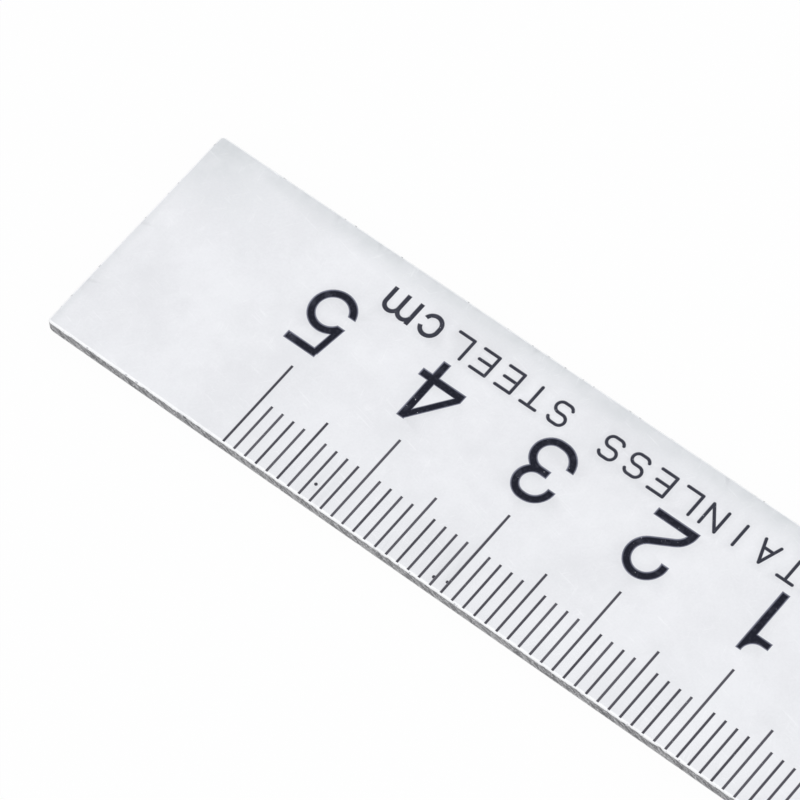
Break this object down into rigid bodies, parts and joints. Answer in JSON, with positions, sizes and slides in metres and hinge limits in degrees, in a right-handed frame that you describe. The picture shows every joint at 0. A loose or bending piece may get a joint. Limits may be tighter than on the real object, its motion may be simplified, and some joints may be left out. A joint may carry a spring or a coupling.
{
  "type": "steel square ruler",
  "caption": "Flat L-shaped steel square with paint-filled centimetre scales along both inner edges, for marking and cutting leather.",
  "frame": {"origin": "inner corner of the square, where both scales read zero, in the plane of the back face", "axes": "+X along the short leg, +Y along the long leg, +Z out of the graduated front face"},
  "size_m": [0.0866, 0.1366, 0.0012],
  "materials": {
    "steel": "fine satin",
    "black_paint": "glossy enamel fill"
  },
  "bodies": {
    "root": {"steel_square": "steel", "short_leg_millimetre_lines": "black_paint", "short_leg_half_centimetre_lines": "black_paint", "short_leg_centimetre_lines": "black_paint", "short_leg_numerals": "black_paint", "short_leg_unit_mark": "black_paint", "short_leg_lettering": "black_paint", "long_leg_millimetre_lines": "black_paint", "long_leg_half_centimetre_lines": "black_paint", "long_leg_centimetre_lines": "black_paint", "long_leg_numerals": "black_paint", "long_leg_unit_mark": "black_paint"}
  },
  "joints": []
}
